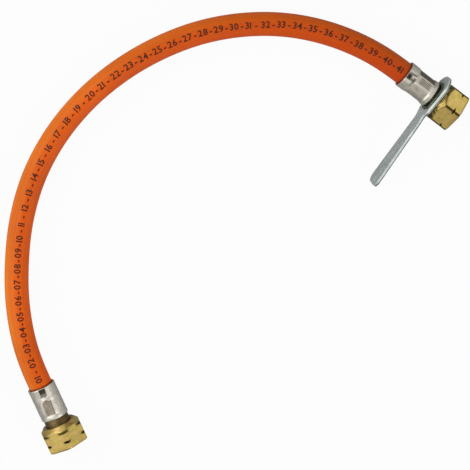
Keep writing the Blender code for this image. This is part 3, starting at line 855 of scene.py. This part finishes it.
def ferrule_b_surface(x, angle):
    """Radius at a place of ferrule b, how much painted shade and grease it has, and how discoloured it is."""
    number, offset = jaw_offset(angle, 96.5 + 12.0 * x / FERRULE_LENGTH)
    marked = number in (0, JAWS // 2)
    start = 0.0082 + 0.0013 * (offset / 16.0) ** 2
    panel = window(x, start, CRIMP_END, 0.0007)
    share = panel * (0.7 if marked else 0.25)
    radius = pressed(ferrule_base(x, RIDGE_RADIUS + 0.00027), offset, FLAT_RADIUS + 0.00020, share)
    if not marked:
        return radius, 0.0, 0.0
    floor = panel * window(offset, -17.5, 17.5, 4.0)
    arch = stroke(x, start - 0.0008, 0.0003) * window(offset, -18.5, 18.5, 4.0)
    pocket = window(x, 0.0004, 0.0060, 0.0004) * window(offset, -15.0, 14.0, 3.0)
    teeth = sin(x * 4300 + offset * 0.35) * sin(offset * 0.62 - x * 900)
    radius += ARCH_RISE * arch - PANEL_DEPTH * floor - (POCKET_DEPTH + TEETH_DEPTH * teeth) * pocket
    # Painted shade in the pocket, darkest near the mouth and broken up by the teeth
    pocket_shade = between(x, [(0.0004, 1.25), (0.0028, 1.15), (0.0038, 0.76), (0.0060, 0.62)])
    pocket_shade = pocket * min(1.0, max(0.0, pocket_shade + 0.30 * teeth))
    # Painted shade: a dark line along one edge of the panel, and the panel a little darker
    line = stroke(offset, -19.5, 2.6) * window(x, 0.0086, CRIMP_END, 0.0010)
    return radius, max(pocket_shade, 0.90 * line, 0.14 * floor), 0.90 * floor


def ferrule_a_surface(x, angle):
    """Radius at a place of ferrule a, how much painted shade and grease it has, and how discoloured it is."""
    around = degrees(angle)
    number, offset = jaw_offset(angle, 70.0)
    marked = number in (0, JAWS // 2)
    crimp = window(x, 0.0068, CRIMP_END, 0.0012)
    radius = pressed(ferrule_base(x, RIDGE_RADIUS - 0.00030), offset, FLAT_RADIUS - 0.00022, crimp)
    start, end = 0.0086 + 0.0007 * sin(offset * 0.9), 0.0172 + 0.0006 * sin(offset * 0.7 + 1.0)
    flutes = window(x, start, end, 0.0012) * window(offset, -17.0, 16.0, 6.0) * marked
    turns = radians(offset + 1.2 * sin(x * 700)) * 360.0 / FLUTE_PITCH
    valley = 0.5 - 0.5 * cos(turns)
    dent = window(x, 0.0004, 0.0058, 0.0010) * window(around, 68.0, 94.0, 7.0)
    ridge = stroke(offset, -21.0, 1.8) * window(x, 0.0080, CRIMP_END, 0.001) * marked
    radius += SIDE_RIDGE * ridge - FLUTE_DEPTH * flutes * valley - DENT_DEPTH * dent
    # Painted shade in the dent: its floor, and lines along its walls
    recess = window(x, 0.0001, 0.0032, 0.0010) * window(around, 73.0, 98.0, 7.0)
    upper_wall = stroke(around, 70.5 - 700 * x, 4.0) * window(x, 0.0002, 0.0060, 0.0010)
    end_wall = stroke(x, 0.0058, 0.00105) * window(around, 78.0, 121.0, 8.0)
    end_wall *= 0.95 - 0.45 * smooth((around - 92.0) / 25.0)
    lower_wall = stroke(around, 91.0, 7.0) * window(x, 0.0026, 0.0064, 0.0010)
    # Painted shade and dark reflection on the jaw next to the fluted one, and painted shade in the valleys of
    # the flutes
    facet = crimp * (1 - ridge) * (number == JAWS - 1)
    hollow = max(recess, 0.85 * upper_wall, end_wall, 0.80 * lower_wall, 0.50 * flutes * valley, 0.62 * facet)
    stain = max(flutes * (0.20 + 0.80 * valley), 0.80 * facet, 0.30 * crimp * (number != 0))
    return radius, min(1.0, hollow), stain


def add_ferrule(end, surface):
    stations = {round(FERRULE_LENGTH * row / FERRULE_ROWS, 6) for row in range(FERRULE_ROWS + 1)}
    stations |= {0.0001, 0.0003, 0.0212, 0.0214}
    outside = [(x, lambda angle, x=x: surface(x, angle)[0]) for x in sorted(stations)]
    inside = rounded([
        (FERRULE_LENGTH, RIM_RADIUS - 0.0004), (FERRULE_LENGTH, LIP_BORE), (LIP_START, LIP_BORE),
        (LIP_START, CRIMP_BORE), (0.0079, CRIMP_BORE), (0.0061, BELL_BORE), (0.0, BELL_BORE),
        (-0.00002, BELL_RADIUS - 0.0003),
    ], 0.0002, 2, closed=False)
    mesh = ring_mesh("ferrule_" + end, turned(outside + inside, even_angles(FERRULE_COLUMNS)))

    def layer(number):
        def value(point):
            inner = CRIMP_BORE + 0.0005 if point.x > BELL_LENGTH else BELL_BORE + 0.0001
            if radius_of(point) < inner or not 0 < point.x < FERRULE_LENGTH:
                return 0.0
            return surface(point.x, angle_of(point))[number]
        return value

    return add_piece("crimped_ferrule_" + end, mesh, fitting(end), "plated_steel", ["ferrule_" + end],
                     sharp=50.0, hollow=layer(1), stain=layer(2))


# Tails and washers

def add_tail(end):
    outline = [(STEM_START, STEM_RADIUS)]
    tooth = STEM_START
    while tooth + BARB_PITCH < STEM_END:
        outline += [(tooth + BARB_TOOTH, BARB_RADIUS), (tooth + BARB_PITCH, STEM_RADIUS)]
        tooth += BARB_PITCH
    outline += [
        (STEM_END, STEM_RADIUS), (STEM_END, FLANGE_RADIUS), (FLANGE_END, FLANGE_RADIUS),
        (FLANGE_END, GROOVE_RADIUS), (NECK_START, GROOVE_RADIUS), (NECK_START, NECK_RADIUS),
        (HEAD_START, NECK_RADIUS), (HEAD_START, HEAD_RADIUS), (HEAD_END, HEAD_RADIUS), (HEAD_END, 0.0045),
        (SPIGOT_END, 0.0043), (SPIGOT_END, GAS_BORE), (STEM_START, GAS_BORE),
    ]
    mesh = ring_mesh("tail", turned(rounded(outline, 0.00018, 2), even_angles(96)))

    def hollow(point):
        """Painted shade where the neck goes into the ferrule and into the nut."""
        return 0.85 * max(smooth((NECK_START + 0.0005 - point.x) / 0.0004),
                          smooth((point.x - HEX_START + 0.0005) / 0.0004))

    # Painted shade: a dark coat on the neck of end a, in the gap under the lever
    def patina(point):
        return 0.9 if end == "a" and NECK_START - 0.0001 < point.x < HEX_START else 0.0

    return add_piece("brass_tail_" + end, mesh, fitting(end), "dull_brass", ["hose_tail_" + end],
                     slot="brass", hollow=hollow, patina=patina)


def add_washer(end):
    outline = [(WASHER_START, WASHER_BORE), (WASHER_START, HEAD_RADIUS),
               (WASHER_END, HEAD_RADIUS), (WASHER_END, WASHER_BORE)]
    mesh = ring_mesh("washer", turned(rounded(outline, 0.00025, 4), even_angles(96)))
    return add_piece("seal_ring_" + end, mesh, fitting(end), "seal_rubber", ["sealing_washer_" + end])


# Nuts

def hexagon(angle):
    """Radius of the hexagon by angle, with rounded corners at 30 degrees and every 60 from there."""
    from_corner = angle % (pi / 3) - pi / 6
    flat = NUT_APOTHEM / cos(pi / 6 - abs(from_corner))
    centre = (NUT_APOTHEM - CORNER_ROUND) / cos(pi / 6)
    reach = CORNER_ROUND ** 2 - (centre * sin(from_corner)) ** 2
    if reach <= 0:
        return flat
    return min(flat, centre * cos(from_corner) + sqrt(reach))


def nut_angles():
    """Columns of the nut: even over the flats and close at the corners."""
    angles = []
    for corner in range(6):
        middle = 30 + 60 * corner
        angles += [middle + offset for offset in (-2.6, -1.4, -0.8, -0.4, 0.0, 0.4, 0.8, 1.4, 2.6)]
        angles += [middle + 2.6 + (60 - 5.2) * step / 24 for step in range(1, 24)]
    return [radians(angle) for angle in angles]


def nut_outside():
    """Outline of the hexagon from the back hole to the front thread."""
    root = NUT_CORNER - NOTCH_DEPTH

    def less(function, amount):
        return lambda angle: function(angle) - amount

    def cone_end(angle):
        return HEX_START + (hexagon(angle) - BACK_RADIUS) * BACK_SLOPE

    def front_end(angle):
        return NUT_FRONT - max(0.00012, (hexagon(angle) - FRONT_RADIUS) * FRONT_SLOPE)

    def front_radius(angle):
        return min(hexagon(angle), FRONT_RADIUS)

    def notch_half(angle):
        return max(0.00004, NOTCH_HALF * max(0.0, hexagon(angle) - root) / NOTCH_DEPTH)

    def notch(place, depth):
        """A row across the notch, which only cuts the corners."""
        edge = NOTCH_EDGE * place if abs(place) == 1.0 else 0.0
        return (lambda angle: NOTCH_PLACE + notch_half(angle) * place + edge,
                lambda angle: hexagon(angle) - max(0.0, hexagon(angle) - root) * depth)

    rows = [notch(place, depth) for place, depth in NOTCH_ROWS]
    back, front = less(cone_end, -0.00016), less(front_end, 0.00014)
    outline = [
        (HEX_START, BACK_RADIUS - 0.0006),
        (HEX_START, BACK_RADIUS - 0.00012),
        (HEX_START + 0.00004, BACK_RADIUS + 0.00002),
    ]
    for share in (0.15, 0.35, 0.55, 0.75, 0.93):
        outline.append((blend(HEX_START, cone_end, share), blend(BACK_RADIUS, hexagon, share)))
    outline += [(less(cone_end, -0.00003), less(hexagon, 0.00004)), (back, hexagon)]
    for share in (0.08, 0.17, 0.26, 0.36, 0.47, 0.58, 0.69, 0.80, 0.90):
        outline.append((blend(back, rows[0][0], share), hexagon))
    outline += rows
    for share in (0.2, 0.4, 0.6, 0.8):
        outline.append((blend(rows[-1][0], front, share), hexagon))
    return outline + [
        (front, hexagon),
        (less(front_end, -0.00002), less(hexagon, 0.00005)),
        (NUT_FRONT - 0.00003, less(front_radius, 0.00008)),
        (NUT_FRONT, less(front_radius, 0.00025)),
        (NUT_FRONT, THREAD_MAJOR + 0.00055),
    ]


def thread(x):
    """Radius by angle of the left-hand thread."""
    def radius(angle):
        turned_by = ((x - SHOULDER_END) / THREAD_PITCH + angle / (2 * pi)) % 1.0
        height = smooth(0.5 + 1.1 * (0.5 - abs(turned_by - 0.5) * 2))
        fade = smooth((x - SHOULDER_END - THREAD_RUN_OUT) / 0.0008)
        start = THREAD_MAJOR + (THREAD_MINOR - THREAD_MAJOR) * fade
        return start + (THREAD_MAJOR - start) * height
    return radius


def nut_inside():
    """Outline from the front of the thread to the hole for the tail."""
    first, last = NUT_FRONT - 0.0009, SHOULDER_END + THREAD_RUN_OUT
    places = [first + (last - first) * row / THREAD_ROWS for row in range(THREAD_ROWS + 1)]
    return [(NUT_FRONT - 0.0006, THREAD_MAJOR + 0.00005)] + [(x, thread(x)) for x in places] + [
        (SHOULDER_END + 0.0002, THREAD_MAJOR), (SHOULDER_END, THREAD_MAJOR - 0.0002),
        (SHOULDER_END, NUT_HOLE + 0.0001), (SHOULDER_END - 0.0001, NUT_HOLE),
    ]


def boss_outline():
    """The staked rim over the lever, and the boss through it."""
    def boss(angle):
        rise = abs(sin(angle - radians(LEVER_DROP)))
        return BOSS_FLAT / rise if BOSS_RADIUS * rise > BOSS_FLAT else BOSS_RADIUS

    def foot(angle):
        return boss(angle) + 0.00012

    lip = BOSS_RADIUS + STAKED_LIP
    return [
        (BOSS_START, lip - 0.00035), (BOSS_START + 0.00008, lip - 0.00010), (BOSS_START + 0.0002, lip),
        (STAKED_FACE - 0.0001, lip), (STAKED_FACE, lip - 0.0001), (STAKED_FACE, foot),
        (STAKED_FACE + 0.0001, boss), (HEX_START - 0.00012, boss), (HEX_START, foot),
    ]


def add_nut(end, body):
    back = HEX_START if end == "b" else BOSS_START
    hole = [(back + 0.0001, NUT_HOLE), (back, NUT_HOLE + 0.0001)]
    outline = nut_inside() + hole + (boss_outline() if end == "a" else []) + nut_outside()
    mesh = ring_mesh("nut_" + end, turned(outline, nut_angles()))
    cone_reach = (NUT_CORNER - BACK_RADIUS) * BACK_SLOPE

    def from_corner(point):
        """Degrees from the nearest corner."""
        return abs(degrees(angle_of(point)) % 60.0 - 30.0)

    def cone_edge(point):
        """How far a place on the outside is in front of the line where the back cone meets the hexagon."""
        reach = hexagon(angle_of(point)) - BACK_RADIUS
        return point.x - HEX_START - reach * BACK_SLOPE

    def on_hexagon(point):
        return point.x >= HEX_START and radius_of(point) >= BACK_RADIUS - 0.001

    def hollow(point):
        """Painted shade, with some grease, in the thread and the notches and along the edges, and what is
        peculiar to each nut.
        """
        radius = radius_of(point)
        if radius < THREAD_MAJOR + 0.0001 and point.x > HEX_START:
            return 0.35
        if not on_hexagon(point):
            return 0.0
        depth = hexagon(angle_of(point)) - radius
        if abs(point.x - NOTCH_PLACE) < NOTCH_HALF and depth > 0.00003:
            return min(0.97, 0.75 + depth / NOTCH_DEPTH)
        # Painted shade along the line where the back cone meets the flats, and on the front chamfer
        edge = stroke(cone_edge(point), 0.0, 0.00045)
        along = point.x - HEX_START
        front = 0.50 * smooth((point.x - NUT_FRONT + 0.0010) / 0.0008)
        if end == "b":
            # Painted shade: a dark step at the back of each corner, and a dark band beside each notch
            step = window(along, 0.0034, 0.0050, 0.0006) * smooth(2.0 - from_corner(point) / 10.0)
            notch_band = window(point.x - NOTCH_PLACE, -0.0008, 0.0008, 0.0005)
            notch_band *= smooth(2.0 - from_corner(point) / 6.0)
            return max(0.93 * step, 0.93 * notch_band, 0.25 * edge, front)
        # Painted shade: a dark line down each corner, the cone darker on its flanks away from the camera, and
        # dark at the back next to the lever
        line = 0.95 * smooth(1.5 - from_corner(point) / 3.2) * smooth((along - cone_reach + 0.0004) / 0.0006)
        side = smooth((abs(degrees(angle_of(point)) - 88.0) - 46.0) / 14.0)
        side_shade = 0.65 * side * smooth(-cone_edge(point) / 0.0006)
        return max(line, 0.40 * edge, side_shade, front, 0.60 * smooth((0.0011 - along) / 0.0006))

    def stain(point):
        """Discolouring and painted dark reflection on the back cone and a little way on to the flats."""
        if not on_hexagon(point):
            return 0.0
        return smooth((0.0009 - cone_edge(point)) / 0.0009) * (1.0 if end == "a" else 0.35)

    # Painted shade: a dark coat on the boss of nut a, in the gap under the lever
    def patina(point):
        return 1.0 if point.x < HEX_START - 0.00005 else 0.0

    return add_piece("brass_nut_" + end, mesh, fitting(end), "brass", ["union_nut_" + end], body=body,
                     sharp=22.0, hollow=hollow, stain=stain, patina=patina)


# Lever

def arc(centre, radius, start, end, steps):
    angles = [start + (end - start) * step / steps for step in range(steps + 1)]
    return [(centre[0] + radius * cos(angle), centre[1] + radius * sin(angle)) for angle in angles]


def flattened(loop, flat):
    return [(along, max(-flat, min(flat, across))) for along, across in loop]


def lever_outline():
    """Ring, fillets and handle with round corners, as distances along the handle and across it."""
    half = LEVER_WIDTH / 2
    across = half + LEVER_FILLET
    along = sqrt((LEVER_RING + LEVER_FILLET) ** 2 - across ** 2)
    ring_angle = atan2(across, along)
    corner_along = LEVER_LENGTH - LEVER_TIP_CORNER
    corner_across = half - LEVER_TIP_CORNER
    quarter = pi / 2
    outline = arc((0.0, 0.0), LEVER_RING, ring_angle, 2 * pi - ring_angle, 120)
    outline += arc((along, -across), LEVER_FILLET, pi - ring_angle, quarter, 18)[1:]
    outline += arc((corner_along, -corner_across), LEVER_TIP_CORNER, -quarter, 0.0, 16)
    outline += arc((corner_along, corner_across), LEVER_TIP_CORNER, 0.0, quarter, 16)
    outline += arc((along, across), LEVER_FILLET, -quarter, ring_angle - pi, 18)[:-1]
    return flattened(outline, LEVER_RING_FLAT)


def handle_lift(along):
    """How far the bends have moved the handle towards the nut."""
    lift = slope = reached = 0.0
    for start, change in LEVER_BENDS + [(LEVER_LENGTH, 0.0)]:
        lift += max(0.0, min(along, start) - reached) * tan(radians(slope))
        slope += change
        reached = start
    return lift


def add_lever():
    """A flat plate, cut across, thickened, rounded at its edges, and then bent and twisted."""
    bm = bmesh.new()
    edges = []
    hole = flattened(arc((0.0, 0.0), LEVER_HOLE, 0.0, 2 * pi, 120)[1:], LEVER_HOLE_FLAT)
    for loop in (lever_outline(), hole):
        verts = [bm.verts.new((0.0, -along, across)) for along, across in loop]
        edges += [bm.edges.new((verts[corner - 1], verts[corner])) for corner in range(len(verts))]
    bmesh.ops.triangle_fill(bm, edges=edges, use_beauty=True)
    for start in LEVER_LINES:
        everything = bm.verts[:] + bm.edges[:] + bm.faces[:]
        bmesh.ops.bisect_plane(bm, geom=everything, plane_co=(0, -start, 0), plane_no=(0, -1, 0))
    bmesh.ops.recalc_face_normals(bm, faces=bm.faces)
    plate = bpy.data.meshes.new("plate")
    bm.to_mesh(plate)
    bm.free()
    item = add_object("plate", plate)
    solid = item.modifiers.new("plate", "SOLIDIFY")
    solid.thickness = LEVER_THICKNESS
    solid.offset = 0.0
    edge = item.modifiers.new("edge", "BEVEL")
    edge.width = LEVER_EDGE
    edge.segments = 4
    edge.limit_method = "ANGLE"
    edge.angle_limit = radians(60)
    mesh = into_mesh(item)
    places = []
    for vertex in mesh.vertices:
        along = -vertex.co.y
        places.append(Vector((along, vertex.co.z, vertex.co.x)))
        twist = max(0.0, along - TWIST_START) / (LEVER_LENGTH - TWIST_START) * radians(LEVER_TWIST)
        vertex.co.x += handle_lift(along) + vertex.co.z * tan(twist)
    matrix = fitting("a") @ Matrix.Translation((LEVER_BACK + LEVER_THICKNESS / 2, 0, 0))
    matrix = matrix @ Matrix.Rotation(radians(LEVER_DROP), 4, "X")
    add_piece("steel_lever", mesh, matrix, "lever_steel", ["hand_lever"], places, "lever_nut", sharp=40.0)


def main():
    bpy.context.scene.view_settings.view_transform = "Standard"
    add_camera()
    add_world()
    add_floor()
    for softbox in SOFTBOXES:
        add_softbox(*softbox)
    line = Line(smooth_curve(route()))
    hose, path = add_hose(line)
    add_print(line)
    for end, surface, body in (("a", ferrule_a_surface, "lever_nut"), ("b", ferrule_b_surface, "plain_nut")):
        add_ferrule(end, surface)
        add_tail(end)
        add_washer(end)
        add_nut(end, body)
    add_lever()


main()
